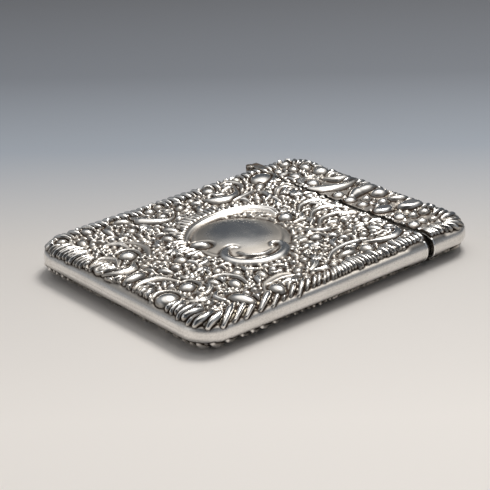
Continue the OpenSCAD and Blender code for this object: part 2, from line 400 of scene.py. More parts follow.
# Scrolls and leaves: half-widths from end to end, top, section, and points along the middle
SCROLLS = [
    ((0.4, 1.9, 1.5, 0.5, 0.3), 0.9, "round",
     [(-19.6, 31.4), (-18.8, 27.2), (-15.4, 24.0), (-11.4, 23.0), (-8.4, 25.6)]),
    ((0.5, 2.0, 1.6, 0.9, 0.4), 0.9, "round",
     [(4.2, 27.4), (6.6, 24.4), (11.0, 23.4), (15.0, 25.4), (17.8, 29.6)]),
    ((0.4, 0.8, 0.7, 0.3), 0.7, "round", [(10.0, 20.8), (14.4, 21.6), (20.6, 22.8)]),
    ((0.4, 0.9, 0.5), 0.65, "round", [(15.6, 33.0), (18.4, 33.4), (20.0, 29.4), (18.0, 26.0)]),
    ((0.5, 1.3, 1.4, 0.5), 0.85, "leaf", [(-47.6, 6.6), (-44.6, 3.6), (-40.6, 3.4), (-37.6, 6.6)]),
    ((0.5, 1.2, 1.3, 0.6), 0.75, "leaf", [(-47.4, -6.4), (-43.4, -5.2), (-39.0, -6.4), (-36.4, -11.0)]),
    ((0.4, 1.0, 0.6), 0.7, "round", [(-38.2, 0.6), (-36.6, -2.6), (-33.0, -7.0)]),
    ((0.3, 0.7, 0.7, 0.3), 0.7, "round", [(-29.6, -15.4), (-25.8, -16.4), (-23.4, -20.0), (-24.0, -24.4)]),
    ((0.3, 1.0, 1.2, 0.5), 0.7, "trough", [(-24.0, -31.6), (-20.4, -28.0), (-14.4, -27.0), (-9.0, -29.6)]),
    ((0.3, 0.7, 0.8, 0.5), 0.8, "round", [(1.6, -28.0), (6.0, -25.4), (12.0, -24.4), (18.4, -25.6)]),
    ((0.3, 0.9, 1.3, 1.1, 0.5), 0.9, "round",
     [(16.4, -26.2), (20.0, -28.4), (24.6, -29.4), (28.6, -27.8), (30.2, -24.6)]),
    ((0.3, 0.6, 0.5), 0.7, "round", [(19.8, -19.8), (22.2, -17.6), (25.2, -19.0)]),
    ((0.3, 0.8, 0.8, 0.3), 0.65, "ridges", [(-33.4, 20.0), (-30.0, 16.4), (-29.4, 11.4), (-32.0, 6.8)]),
    ((0.4, 1.1, 1.1, 0.4), 0.7, "ridges", [(-47.0, 13.0), (-42.6, 13.6), (-40.4, 10.4), (-42.2, 7.4)]),
    ((0.3, 0.8, 0.9, 0.3), 0.7, "round", [(18.6, 2.0), (22.0, 4.8), (26.4, 5.0), (29.6, 2.2)]),
    ((0.3, 0.8, 0.8, 0.3), 0.65, "round", [(17.4, -4.2), (21.6, -1.0), (26.4, -1.2), (30.0, -4.4)]),
    ((0.3, 0.8, 0.8, 0.3), 0.65, "round", [(15.0, -10.6), (19.4, -6.6), (25.0, -6.6), (29.4, -10.2)]),
    ((0.3, 0.7, 0.7, 0.3), 0.65, "ridges", [(3.4, -10.6), (6.0, -11.0), (7.6, -13.6)]),
    ((0.4, 0.9, 0.8, 0.3), 0.6, "ridges", [(22.0, 15.6), (25.2, 18.4), (28.6, 18.6), (30.4, 15.4)]),
    # on the lid
    ((0.8, 2.0, 1.9, 1.2, 0.6), 0.92, "round",
     [(31.4, 12.6), (34.0, 9.8), (38.0, 8.0), (42.6, 7.0), (47.4, 7.9)]),
    ((0.6, 1.5, 1.2), 0.85, "round", [(40.8, 15.0), (43.2, 12.2), (47.4, 11.6)]),
    ((0.4, 0.9, 0.7), 0.7, "round", [(32.6, 16.0), (34.4, 19.0), (38.6, 18.6)]),
    ((0.4, 1.1, 0.5), 0.65, "round", [(32.4, 24.6), (34.0, 26.2), (37.6, 25.6)]),
    ((0.9, 1.8, 1.8, 1.0), 0.95, "round", [(36.2, -0.8), (40.2, 0.9), (44.2, 1.0), (48.0, 0.8)]),
    ((0.6, 1.2, 1.2, 0.7), 0.85, "round", [(42.4, -9.6), (44.8, -11.2), (47.8, -12.2)]),
]

# Spiral ends: place, radius, start angle, turns, half-width, top
VOLUTES = [
    (16.0, 30.2, 1.9, 20, 1.2, 0.55, 0.7), (28.4, -24.6, 1.6, -60, 1.2, 0.5, 0.7),
    (-9.4, 27.2, 1.6, -60, 1.1, 0.5, 0.65), (46.4, 13.6, 1.5, -90, 1.1, 0.45, 0.65),
    (-46.4, 9.0, 1.6, -120, -1.1, 0.5, 0.65), (-33.2, -10.4, 1.5, 120, 1.1, 0.45, 0.6),
    (22.4, -20.2, 1.2, 100, -1.0, 0.4, 0.6), (5.8, -13.4, 1.3, 60, 1.1, 0.4, 0.65),
]

# Rings that half-surround a dome: place, radius, half-width, start and end angle, top
RINGS = [
    (-36.4, 10.8, 3.7, 0.55, -50, 150, 0.6), (-37.0, -15.6, 3.6, 0.5, -70, 90, 0.6),
    (36.4, 15.6, 3.0, 0.4, 0, 200, 0.55),
    (9.2, -15.2, 2.9, 0.45, -80, 110, 0.55), (-45.2, -17.4, 4.1, 0.5, -20, 130, 0.55),
    (27.6, 28.6, 4.6, 0.45, -100, 20, 0.6), (-31.2, -30.4, 4.0, 0.5, 10, 120, 0.55),
]


def fill_direction(u, v):
    """Which way the small fill runs at a place, in degrees: out from the cartouche, and swirling."""
    out = np.degrees(np.arctan2(v - CARTOUCHE[1], u - CARTOUCHE[0]))
    return out + 35 * np.sin(u * 0.31 + 1.0) + 35 * np.cos(v * 0.27 + u * 0.11)


def draw_fill(relief, rng, half_u, half_v):
    """Small beads and leaflets all over, close together, and thinly strewn over most of the lid."""
    pitch = 2.15
    row = 0
    for v in np.arange(-half_v, half_v, pitch * 0.87):
        row += 1
        for u in np.arange(-half_u + (row % 2) * pitch / 2, half_u, pitch):
            du, dv = rng.uniform(-0.55, 0.55, 2)
            size, shape, turn, top, skip = rng.uniform(0, 1, 5)
            if u > LID_MOUTH and v < 16 and skip < 0.72:
                continue
            across = 0.66 + 0.46 * size**2
            along = across * (1.0 + 1.3 * shape**2)
            angle = fill_direction(u, v) + 80 * (turn - 0.5)
            relief.dome(u + du, v + dv, along, across, angle, BEAD_TOP * (0.55 + 0.65 * top), moat=0.16)


def draw_flower(relief, u, v, size, petals, turn):
    """A small flower: petals round a hollow eye."""
    relief.dome(u, v, 1.9 * size, 1.9 * size, 0, 0.0, moat=0)
    for k in range(petals):
        a = np.radians(turn + 360 * k / petals)
        relief.dome(u + 1.1 * size * np.cos(a), v + 1.1 * size * np.sin(a), 0.8 * size, 0.62 * size,
                    np.degrees(a), 0.62, moat=0.1)
    relief.dome(u, v, 0.42 * size, 0.42 * size, 0, 0.5, moat=0.12)


def draw_sprays(relief, rng, half_u, half_v):
    """Flowers, curled leaves, striated leaves and hooded beads, strewn over the fill."""
    pitch = 4.9
    for v in np.arange(-half_v, half_v, pitch):
        for u in np.arange(-half_u, half_u, pitch):
            du, dv = rng.uniform(-1.8, 1.8, 2)
            kind, size, turn, side, skip = rng.uniform(0, 1, 5)
            if skip < 0.08 or (u > LID_MOUTH and v < 16 and skip < 0.9):
                continue
            at = np.array([u + du, v + dv])
            angle = fill_direction(u, v) + 160 * (turn - 0.5)
            a = np.radians(angle)
            along, across = np.array([np.cos(a), np.sin(a)]), np.array([-np.sin(a), np.cos(a)])
            hand = 1 if side < 0.5 else -1
            if kind < 0.20:
                draw_flower(relief, *at, 0.8 + 0.4 * size, 5, 72 * turn)
            elif kind < 0.58:
                reach = 2.1 + 1.7 * size
                middle = at + across * hand * reach * 0.5
                tip = at + along * reach
                relief.stroke([at - along * reach, middle, tip, tip - across * hand * reach * 0.35],
                              [0.3, 0.8 + 0.6 * size, 0.7, 0.3], 0.72 + 0.18 * size, 0.35,
                              "ridges" if size > 0.7 else "round")
            elif kind < 0.72:
                relief.fan(*at, angle, 75, 3.2 + 1.6 * size, 4, 0.40 + 0.14 * size, 0.72)
            elif kind < 0.86:
                relief.dome(*at, 1.3 + 0.9 * size, 1.1 + 0.6 * size, angle, 0.72 + 0.15 * size, 0.4)
            else:
                relief.hooded(*at, 1.1 + 0.5 * size, angle, 0.8)


def draw_rays(relief, rng):
    """The flutes that stand out around the upper side of the cartouche, with a bead at some tips."""
    middle = np.array([CARTOUCHE[0] + 1.5, CARTOUCHE[1] + 1.0])
    for angle in np.arange(2, 186, 5.2):
        a = np.radians(angle + rng.uniform(-0.8, 0.8))
        turn = np.array([np.cos(a), np.sin(a)])
        inner, outer = 15.6, 20.6 + rng.uniform(-0.9, 1.2)
        start, end = middle + turn * inner, middle + turn * outer
        relief.stroke([start, (start + end) / 2, end], [0.5, 0.72, 0.62], 0.68, 0.14)
        relief.bead(*(end + turn * 0.9), 0.62, 0.6)


def draw_cartouche(relief):
    """The plain dome, the moulded crescent over it, the scroll under it and the bead at each end."""
    u, v = CARTOUCHE
    relief.dome(u - 1.2, v + 1.0, 14.2, 14.4, -41, 0.32, moat=0.6, flat=0.85)
    crescent = [(-18.6, 5.6), (-17.6, 8.6), (-11.4, 13.4), (-3.6, 15.4), (4.4, 14.9), (9.9, 12.1),
                (12.8, 8.4), (12.4, 4.4)]
    relief.stroke(crescent, [0.3, 0.6, 1.1, 1.6, 2.0, 2.3, 2.2, 1.0], 0.92, 0.5, "ridges", steep=0.3)
    relief.crown(u - 1.6, v + 1.4, 12.0, 12.9, -41, 0.20, 0.88, 0.2)
    lower = [(-11.4, -5.6), (-12.6, -4.3), (-15.6, -5.4), (-18.0, -9.4), (-17.0, -13.8), (-12.9, -16.9),
             (-7.0, -17.4), (-1.9, -14.8), (-0.4, -11.2), (-2.4, -9.6), (-3.6, -11.2)]
    relief.stroke(lower, [0.4, 0.7, 1.1, 1.5, 1.7, 1.8, 1.7, 1.5, 1.0, 0.65, 0.4], 0.97, 0.5, steep=0.36)
    inner = [(-13.2, -8.4), (-12.4, -11.8), (-9.0, -13.8), (-4.4, -12.8)]
    relief.stroke(inner, [0.2, 0.45, 0.45, 0.2], 0.75, 0.3, steep=0.5)
    relief.dome(12.9, 1.4, 2.8, 2.4, 30, 0.97, moat=0.8)
    relief.dome(-17.6, 2.7, 3.2, 2.2, -41, 0.95, moat=0.7)
    relief.eased(u, v, 19.5)


def outline_place(distance, core_u, core_v, flat):
    """A point and an outward direction at a distance along the face's rounded border."""
    side_v, side_u, corner = 2 * core_v, 2 * core_u, flat * np.pi / 2
    # length, where it starts or the corner's centre, and the direction that is outwards at its start
    parts = [
        (side_v, (core_u + flat, -core_v), 0),
        (corner, (core_u, core_v), 0),
        (side_u, (core_u, core_v + flat), 90),
        (corner, (-core_u, core_v), 90),
        (side_v, (-core_u - flat, core_v), 180),
        (corner, (-core_u, -core_v), 180),
        (side_u, (-core_u, -core_v - flat), 270),
        (corner, (core_u, -core_v), 270),
    ]
    distance = distance % sum(p[0] for p in parts)
    for k, (length, start, angle) in enumerate(parts):
        if distance < length or k == len(parts) - 1:
            break
        distance -= length
    if k % 2:
        a = np.radians(angle + 90 * distance / length)
        out = np.array([np.cos(a), np.sin(a)])
        return np.array(start) + flat * out, out
    a = np.radians(angle)
    out = np.array([np.cos(a), np.sin(a)])
    return np.array(start) + distance * np.array([-out[1], out[0]]), out


# The flutes round the border. Share of the way round, anticlockwise from the start of the lid's end;
# half-width; length inwards; reach outwards; and lean, in millimetres along for each one inwards
BORDER = [
    (0.00, 0.80, 4.0, 1.9, -0.2), (0.09, 0.85, 3.0, 1.5, 0.0), (0.18, 0.95, 4.0, 2.0, 0.2),
    (0.22, 1.10, 4.0, 1.2, 0.4), (0.34, 1.30, 3.4, 1.0, 0.0), (0.46, 1.10, 4.0, 1.4, -0.4),
    (0.485, 0.66, 5.0, 2.9, 0.0), (0.52, 0.62, 4.6, 2.2, 0.2), (0.57, 0.55, 3.0, 0.4, 0.2),
    (0.62, 0.60, 2.6, -0.1, -0.2), (0.67, 0.80, 4.6, 1.4, -0.25), (0.695, 1.05, 6.0, 2.5, 1.0),
    (0.72, 0.95, 6.5, 2.9, 2.3), (0.77, 0.78, 5.0, 2.6, 1.9), (0.82, 0.45, 2.6, 2.0, 1.2),
    (0.85, 0.55, 3.8, 1.5, 0.0), (0.90, 0.62, 3.2, 0.7, -0.2), (0.935, 0.75, 2.4, -0.1, 0.2),
    (0.955, 0.75, 2.6, 0.8, -0.4), (0.98, 0.80, 5.2, 2.6, -0.9), (1.00, 0.80, 4.4, 1.9, -0.2),
]


def draw_border(relief, rng, core_u, core_v, edge):
    """Slanted flutes all round, over the shoulder of the face."""
    around = 4 * (core_u + core_v) + 2 * np.pi * edge
    shares, *columns = np.array(BORDER).T
    distance = 0.0
    while distance < around:
        point, out = outline_place(distance, core_u, core_v, edge)
        half, length, reach, lean = (np.interp(distance / around, shares, c) for c in columns)
        half = half * rng.uniform(0.75, 1.35)
        length = length * rng.uniform(0.7, 1.25)
        reach = reach + rng.uniform(-0.9, 0.4)
        along = np.array([-out[1], out[0]])
        inwards = (along * lean - out) / math.hypot(1, lean)
        points = [point + out * reach - along * lean * 0.5 * reach, point + out * reach * 0.2,
                  point + inwards * length * 0.5, point + inwards * length]
        top = min((0.60 + 0.3 * half) * rng.uniform(0.8, 1.08), 0.94)
        relief.stroke(points, [half * 0.7, half * 1.1, half * 1.15, half * 0.5], top, 0.2, steep=0.9)
        distance += (1.8 * half + 0.1) * math.hypot(1, lean)


def draw_face(half_u, half_v, core_u, core_v, flat, seed):
    """The whole embossed face of the closed case."""
    relief = Relief(half_u, half_v)
    rng = np.random.default_rng(seed)
    face_u, face_v = core_u + flat + 2.4, core_v + flat + 2.4
    draw_fill(relief, rng, face_u, face_v)
    draw_sprays(relief, rng, face_u - 3, face_v - 3)
    draw_border(relief, rng, core_u, core_v, flat + 2.5)
    draw_rays(relief, rng)
    for widths, top, section, points in SCROLLS:
        relief.stroke(points, [w * 1.3 for w in widths], top, 0.5, section)
    for u, v, radius, start, turns, half, top in VOLUTES:
        relief.volute(u, v, radius, start, turns, half, top)
    for u, v, radius, half, start, end, top in RINGS:
        relief.ring(u, v, radius, half, start, end, top)
    for u, v, along, across, turn, top in DOMES:
        relief.dome(u, v, along * 1.15, across * 1.15, turn, top + 0.05, moat=0.55)
    for u, v, along, across, turn, top in PILLOWS:
        relief.dome(u, v, along, across, turn, top, flat=0.5)
    draw_cartouche(relief)
    relief.finish()
    return relief


# ---------------------------------------------------------------- from the drawing to the case
def roll_share(u, v):
    """How far round the rolled edge a place is: 0 on the flat, 1 at the seam."""
    du = np.maximum(np.abs(u) - CORE_U, 0)
    dv = np.maximum(np.abs(v) - CORE_V, 0)
    return np.clip((np.maximum(du, dv) - FLAT) / ARC, 0, 1)


def rolled_edge(turn):
    """The profile of the rolled edge, fuller than an ellipse. For angles from the top to the seam: how
    far out and how far up it is, and its outward normal."""
    out = np.sin(turn) ** (2 / FULLNESS)
    up = np.maximum(np.cos(turn), 0) ** (2 / FULLNESS)
    slope_out, slope_up = out ** (FULLNESS - 1) / ROLL, up ** (FULLNESS - 1) / RISE
    size = np.hypot(slope_out, slope_up)
    return ROLL * out, RISE * up, slope_out / size, slope_up / size


def sheet_places(u, v):
    """For places on the unrolled rectangle: the point of the plain surface, its outward normal, and
    the place in the drawing. The square at each corner is drawn in to a quarter of a disc."""
    side_u, side_v = np.sign(u), np.sign(v)
    du = np.maximum(np.abs(u) - CORE_U, 0)
    dv = np.maximum(np.abs(v) - CORE_V, 0)
    out = np.maximum(du, dv)
    safe = np.maximum(out, 1e-9)
    angle = np.where(du >= dv, 45 * dv / safe, 90 - 45 * du / safe)
    angle = np.radians(np.where(out > 0, angle, 0))
    cu, cv = np.cos(angle), np.sin(angle)
    core_u, core_v = np.clip(u, -CORE_U, CORE_U), np.clip(v, -CORE_V, CORE_V)
    rolled, z, normal_out, normal_up = rolled_edge(np.clip((out - FLAT) / ARC, 0, 1) * np.pi / 2)
    reach = np.minimum(out, FLAT) + rolled
    point = np.stack([core_u + side_u * cu * reach, core_v + side_v * cv * reach, z], -1)
    normal = np.stack([side_u * cu * normal_out, side_v * cv * normal_out, normal_up], -1)
    drawn = core_u + side_u * cu * out, core_v + side_v * cv * out
    return point, normal, drawn


def notch_reach(y):
    """Half the width of the room for the knuckles, at a distance across the case."""
    return np.sqrt(np.maximum((KNUCKLE_RADIUS + KNUCKLE_ROOM) ** 2 - (y - HINGE[1]) ** 2, 0))


def on_side_band(share):
    """0 on a face and 1 on the side band, by the share round the rolled edge."""
    return smooth((share - 0.42) / 0.16)


def mouth_place(v, side):
    """Where a sheet ends at the mouth, along each line. On the faces it runs to the edge. On the side
    band it stops at the rim, and at the hinge it stops short of the knuckles. side is 1 on the lid."""
    share = roll_share(np.zeros_like(v), v)
    edge = LID_MOUTH + MOUTH_GAP if side > 0 else BODY_MOUTH - MOUTH_GAP
    place = edge + side * RIM_WIDTH * on_side_band(share)
    y = CORE_V + np.minimum(np.abs(v) - CORE_V, FLAT) + rolled_edge(share * np.pi / 2)[0]
    notch = HINGE[0] + side * notch_reach(y)
    at_hinge = (v > 0) & (side * (notch - place) > 0) & (y > HINGE[1] - KNUCKLE_RADIUS - KNUCKLE_ROOM)
    return np.where(at_hinge, notch, place)


def close_in(columns, v, side):
    """The grid's places along the case, line by line, with its last columns closed up to the mouth."""
    u = np.broadcast_to(columns, (len(v), len(columns))).copy()
    still = LID_MOUTH + side * 3.2
    end = columns[-1] if side < 0 else columns[0]
    share = np.clip((u - still) / (end - still), 0, None)
    place = mouth_place(v, side)[:, None]
    return np.where(share > 0, still + share * (place - still), u)


def grid_faces(rows, columns, first=0):
    """Quads of a grid whose points are numbered along its rows."""
    j, i = np.meshgrid(np.arange(rows - 1), np.arange(columns - 1), indexing="ij")
    a = first + j * columns + i
    return np.stack([a, a + 1, a + columns + 1, a + columns], -1).reshape(-1, 4)


def border(rows, columns, first=0):
    """The points round a grid's border, in order, anticlockwise."""
    grid = first + np.arange(rows * columns).reshape(rows, columns)
    return np.concatenate([grid[0, :-1], grid[:-1, -1], grid[-1, :0:-1], grid[:0:-1, 0]])


def beyond_collar(u, start, width):
    """0 over the collar, and rising to 1 from so far beside its middle, over a width."""
    return smooth((np.abs(u - COLLAR_MIDDLE) - start) / width)


def deepened(height, u, v):
    """The relief is deeper away from the collar, which leaves less room under it, and from the plain
    side band."""
    away = beyond_collar(u, *RELIEF_FADE) * smooth((0.78 - roll_share(u, v)) / 0.3)
    return HIGHEST - (HIGHEST - height) * (1 + DEEPER * away)


def build_shell(node, relief, columns, side, face, body):
    """One embossed tray. face is 1 for the front and -1 for the back. Its inside is a coarser sheet,
    in which the relief shows softened."""
    v = np.linspace(-HALF_V, HALF_V, COARSE * round(2 * HALF_V / GRID / COARSE) + 1)
    u = close_in(columns, v, side)
    vv = np.broadcast_to(v[:, None], u.shape)
    point, normal, drawn = sheet_places(u, vv)
    height = deepened(relief.sampled(*drawn), u, vv)
    share = roll_share(u, vv)
    seam = SEAM_DEPTH * smooth((share - SEAM_FROM) / (1 - SEAM_FROM))
    outer = point + normal * (height - seam)[..., None]
    outer[..., 2] = np.maximum(outer[..., 2], 0.0)

    thin = slice(None, None, COARSE)
    soft = deepened(relief.softened(*(d[thin, thin] for d in drawn)), u[thin, thin], vv[thin, thin])
    away = beyond_collar(u[thin, thin], *LINING_FADE)
    depth = COLLAR_COVER + (INNER_DEPTH - 0.7 * soft - COLLAR_COVER) * away
    inner = point[thin, thin] - normal[thin, thin] * depth[..., None]
    inner[..., 2] = np.maximum(inner[..., 2], 0.0)

    rows, across = u.shape
    rows_in, across_in = soft.shape
    count = rows * across
    places = np.concatenate([outer.reshape(-1, 3), inner.reshape(-1, 3)])
    places[:, 2] = SEAM_Z + face * places[:, 2]
    skin = grid_faces(rows, across)
    lining = grid_faces(rows_in, across_in, count)[:, ::-1]
    edge = border(rows, across)
    edge_in = border(rows_in, across_in, count)
    wall, wall_uv = wall_faces(edge, edge_in)
    faces = [skin, lining, wall]
    if face < 0:
        faces = [f[:, ::-1] for f in faces]
        wall_uv = wall_uv[:, ::-1]

    along, up = (u + HALF_U) / (2 * HALF_U), (vv + HALF_V) / (2 * HALF_V)
    flat = np.stack([along, SKIN_HEIGHT * up], -1).reshape(-1, 2)
    flat_in = np.stack([along, LINING_LOW + LINING_HEIGHT * up], -1)[thin, thin].reshape(-1, 2)
    laid = np.concatenate([flat, flat_in])
    loops = [laid[faces[0]], laid[faces[1]], wall_uv]
    loops = np.concatenate([corners.reshape(-1, 2) for corners in loops])

    listed = [corners for part in faces for corners in part.tolist()]
    made = make_mesh(node.replace("shell", "relief"), places, listed, loops)
    # for each attribute: its values on the outside, and its one value on the inside
    attributes = {
        "hollow": (relief.hollows(*drawn), 0.5),
        "raised": (height, 0.0),
        "inside": (np.zeros(count), 1.0),
        "band": (smooth((share - 0.6) / 0.2), 0.0),
    }
    for name, (outside, within) in attributes.items():
        set_attribute(made.data, name, np.append(outside.ravel(), np.full(len(laid) - count, within)))
    made.data.set_sharp_from_angle(angle=math.radians(75))
    return dress(made, body, "embossed_silver", node)


def wall_faces(edge, edge_in):
    """Triangles that close a shell's border, from the fine outer line to the coarse inner one, and
    their places in the strip of the map that is kept for them."""
    faces, laid = [], []
    count = len(edge_in)
    for k in range(count):
        a, b = edge_in[k], edge_in[(k + 1) % count]
        fine = [edge[(COARSE * k + n) % len(edge)] for n in range(COARSE + 1)]
        left, right = k / count, (k + 1) / count
        step = (right - left) / COARSE
        for n in range(COARSE):
            corner, place = (a, left) if n < COARSE // 2 else (b, right)
            faces.append((fine[n + 1], fine[n], corner))
            here, there = left + step * n, left + step * (n + 1)
            laid.append(((there, WALL_LOW), (here, WALL_LOW), (place, WALL_HIGH)))
        middle = fine[COARSE // 2]
        faces.append((middle, a, b))
        laid.append((((left + right) / 2, WALL_LOW), (left, WALL_HIGH), (right, WALL_HIGH)))
    return np.array(faces), np.array(laid)


# ---------------------------------------------------------------- making objects
def make_mesh(name, places, faces, loops=None):
    """A mesh object from points in millimetres. loops are places in the map, corner by corner."""
    mesh = bpy.data.meshes.new(name)
    mesh.from_pydata((places * MM).tolist(), [], faces)
    if loops is not None:
        layer = mesh.uv_layers.new(name="OFBake")
        layer.data.foreach_set("uv", loops.astype(np.float32).ravel())
    mesh.shade_smooth()
    made = bpy.data.objects.new(name, mesh)
    bpy.context.scene.collection.objects.link(made)
    return made


def set_attribute(mesh, name, values):
    """One number for each point of a mesh."""
    mesh.attributes.new(name, "FLOAT", "POINT").data.foreach_set("value", values.astype(np.float32))


def swing(made):
    """Turns a piece that was made on the closed lid to where the lid stands."""
    there = Matrix.Translation(Vector(HINGE * MM))
    turn = Matrix.Rotation(math.radians(AJAR), 4, "Z")
    made.data.transform(there @ turn @ there.inverted())


def dress(made, body, slot, node):
    """Gives a piece its body and its finish, and hides the CAD node that it stands for."""
    if body == "lid":
        swing(made)
    made.data.update()
    made.data.materials.append(FINISHES[slot])
    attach(made, body)
    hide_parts(node)
    return made


# ---------------------------------------------------------------- rims
def loop_places(share_limit):
    """Places round the case's cross-section: share round the rolled edge, which edge, and which face.
    The loop starts at the hinge on the front, goes over to the far edge and comes back underneath."""
    down = np.linspace(share_limit, 0, 24)
    over = np.linspace(1, 0, 40)
    levels = 1 - 2 * np.arange(1, 160) / 160
    places = []
    for share in down:
        places.append((share, 1, 1, 1.0))
    for level in levels:
        places.append((0.0, 1, 1, level))
    for share in over[::-1]:
        places.append((share, -1, 1, 1.0))
    for share in over[1:]:
        places.append((share, -1, -1, 1.0))
    for level in -levels:
        places.append((0.0, 1, -1, level))
    for share in down[::-1]:
        places.append((share, 1, -1, 1.0))
    return places


def build_rim(node, side, body):
    """The plain strip round a mouth: proud of the side band, and under the relief on the faces. It is
    open at the hinge, where the knuckles are."""
    start = BODY_MOUTH - RIM_WIDTH if side < 0 else LID_MOUTH
    # places across the strip: share of its width, share of its rounded edge's height, and whether on
    # its outside
    profile = [(0.0, 0.0, 1), (0.0, 0.55, 1), (0.08, 0.88, 1), (0.25, 1.0, 1), (0.75, 1.0, 1),
               (0.92, 0.88, 1), (1.0, 0.55, 1), (1.0, 0.0, 1), (1.0, 0.0, 0), (0.0, 0.0, 0)]
    limit = 0.62 if side > 0 else 0.68
    rings = []
    inner_radius = CASE_WIDTH / 2 - CORE_V - FLAT - RIM_INSET - WALL
    for share, edge, face, level in loop_places(limit):
        turn = share * np.pi / 2
        rolled, z, out_y, out_z = rolled_edge(turn)
        flat_y = level * (CORE_V + FLAT) if share == 0 else edge * (CORE_V + FLAT)
        y = flat_y + edge * rolled
        out_y = edge * out_y
        lift = (RIM_SUNK + RIM_PROUD) * float(on_side_band(share)) - RIM_SUNK
        inner_y = flat_y + edge * (RIM_INSET + inner_radius) * np.sin(turn) * (share > 0)
        inner_z = inner_radius * np.cos(turn)
        ring = []
        for along, rise, outside in profile:
            x = start + RIM_WIDTH * along
            if outside:
                drop = lift - 0.3 * (1 - rise)
                ring.append((x, y + out_y * drop, face * (z + out_z * drop) + SEAM_Z))
            else:
                ring.append((x, inner_y, face * inner_z + SEAM_Z))
        rings.append(ring)
    places = np.array(rings)
    if side < 0:
        x, y = places[..., 0], places[..., 1]
        places[..., 0] = np.where(y > HINGE_SIDE, np.minimum(x, HINGE[0] - notch_reach(y)), x)
    made = make_strip(node.replace("rim", "strip"), places)
    made.data.set_sharp_from_angle(angle=math.radians(50))
    return dress(made, body, "polished_silver", node)


def make_strip(name, rings):
    """A closed piece through rings of points, capped at both ends, with its faces turned outwards."""
    count, points = rings.shape[:2]
    quads = []
    for k in range(count - 1):
        for n in range(points):
            m = (n + 1) % points
            quads.append((k * points + n, k * points + m, (k + 1) * points + m, (k + 1) * points + n))
    made = make_mesh(name, rings.reshape(-1, 3), quads)
    mesh = bmesh.new()
    mesh.from_mesh(made.data)
    mesh.verts.ensure_lookup_table()
    mesh.faces.new([mesh.verts[n] for n in range(points)])
    mesh.faces.new([mesh.verts[(count - 1) * points + n] for n in reversed(range(points))])
    bmesh.ops.recalc_face_normals(mesh, faces=mesh.faces)
    mesh.to_mesh(made.data)
    mesh.free()
    return made


# ---------------------------------------------------------------- the hinge
def lathe(name, profile, closed, body, slot, node):
    """A turned piece about the hinge's axis, from its radii and heights."""
    turns = 48
    angle = np.linspace(0, 2 * np.pi, turns, endpoint=False)
    profile = np.array(profile)
    count = len(profile)
    x = HINGE[0] + np.outer(np.cos(angle), profile[:, 0])
    y = HINGE[1] + np.outer(np.sin(angle), profile[:, 0])
    z = np.broadcast_to(profile[:, 1], x.shape)
    places = np.stack([x, y, z], -1).reshape(-1, 3)
    quads = []
    for k in range(turns):
        here, there = k * count, (k + 1) % turns * count
        for n in range(count if closed else count - 1):
            m = (n + 1) % count
            quads.append((here + n, there + n, there + m, here + m))
    made = make_mesh(name, places, quads)
    tidy_mesh(made)
    made.data.set_sharp_from_angle(angle=math.radians(50))
    return dress(made, body, slot, node)


def tidy_mesh(made):
    """Joins points that fall together, and turns the faces outwards."""
    mesh = bmesh.new()
    mesh.from_mesh(made.data)
    bmesh.ops.remove_doubles(mesh, verts=mesh.verts, dist=1e-7)
    bmesh.ops.recalc_face_normals(mesh, faces=mesh.faces)
    mesh.to_mesh(made.data)
    mesh.free()


def build_knuckle(node, body, bore):
    """A knuckle: a tube with softened ends and two turned lines."""
    low, high = (corner[2] for corner in node_box(node))
    radius = KNUCKLE_RADIUS
    soft = 0.12
    line = 0.06
    shoulder = 0.3 * soft
    ends = [(radius - soft, 0.0), (radius - shoulder, shoulder), (radius, soft)]
    profile = [(bore, low)] + [(r, low + z) for r, z in ends]
    for z in (low + 0.4, high - 0.4):
        profile += [(radius, z - line), (radius - line, z), (radius, z + line)]
    profile += [(r, high - z) for r, z in reversed(ends)] + [(bore, high)]
    return lathe(node.replace("hinge_knuckle", "knuckle"), profile, True, body, "hinge_silver", node)


def build_pin():
    """The hinge pin, with its ends hammered over."""
    low, high = node_box("hinge_pin")
    radius = (high[0] - low[0]) / 2
    dome = [(radius * math.cos(a), PIN_DOME * math.sin(a)) for a in np.radians([0, 25, 50, 70, 90])]
    profile = [(r, low[2] + PIN_DOME - z) for r, z in reversed(dome)]
    profile += [(r, high[2] - PIN_DOME + z) for r, z in dome]
    return lathe("pin", profile, False, "lid", "pin_metal", "hinge_pin")


def build_bearer(node, side, body):
    """The block between a knuckle and the case's rolled edge, which it fits. side is 1 on the lid."""
    low, high = node_box(node)
    length = high[0] - low[0]
    if body == "lid":
        length = length / math.cos(math.radians(AJAR)) - 0.3
    outer_y = HINGE[1] + BEARER_REACH
    radius = KNUCKLE_RADIUS
    levels = np.linspace(low[2], high[2], 9)
    rings = []
    for z in levels:
        up = min(abs(z - SEAM_Z) / RISE, 1)
        inner_y = CORE_V + FLAT + ROLL * math.sqrt(1 - up * up) - BEARER_SINK
        lowest = math.asin(max((inner_y - HINGE[1]) / radius, -1))
        ring = []
        for angle in np.linspace(math.asin((outer_y - HINGE[1]) / radius), lowest, 9):
            ring.append((radius * math.cos(angle), HINGE[1] + radius * math.sin(angle)))
        ring.append((max(ring[-1][0], 0.02), inner_y))
        ring.append((length, inner_y))
        for angle in np.radians([0, 30, 60, 90]):
            ring.append((length + BEARER_CORNER * (math.cos(angle) - 1),
                         outer_y + BEARER_CORNER * (math.sin(angle) - 1)))
        rings.append([(HINGE[0] + side * x, y, z) for x, y in ring])
    made = make_strip(node.replace("hinge_bearer", "bearer"), np.array(rings))
    soften(made, 0.09)
    return dress(made, body, "hinge_silver", node)


def soften(made, width):
    """Rounds a piece's sharp edges."""
    bevel = made.modifiers.new("softened", "BEVEL")
    bevel.width = width * MM
    bevel.segments = 2
    bevel.limit_method = "ANGLE"
    bevel.angle_limit = math.radians(45)
    bevel.use_clamp_overlap = True


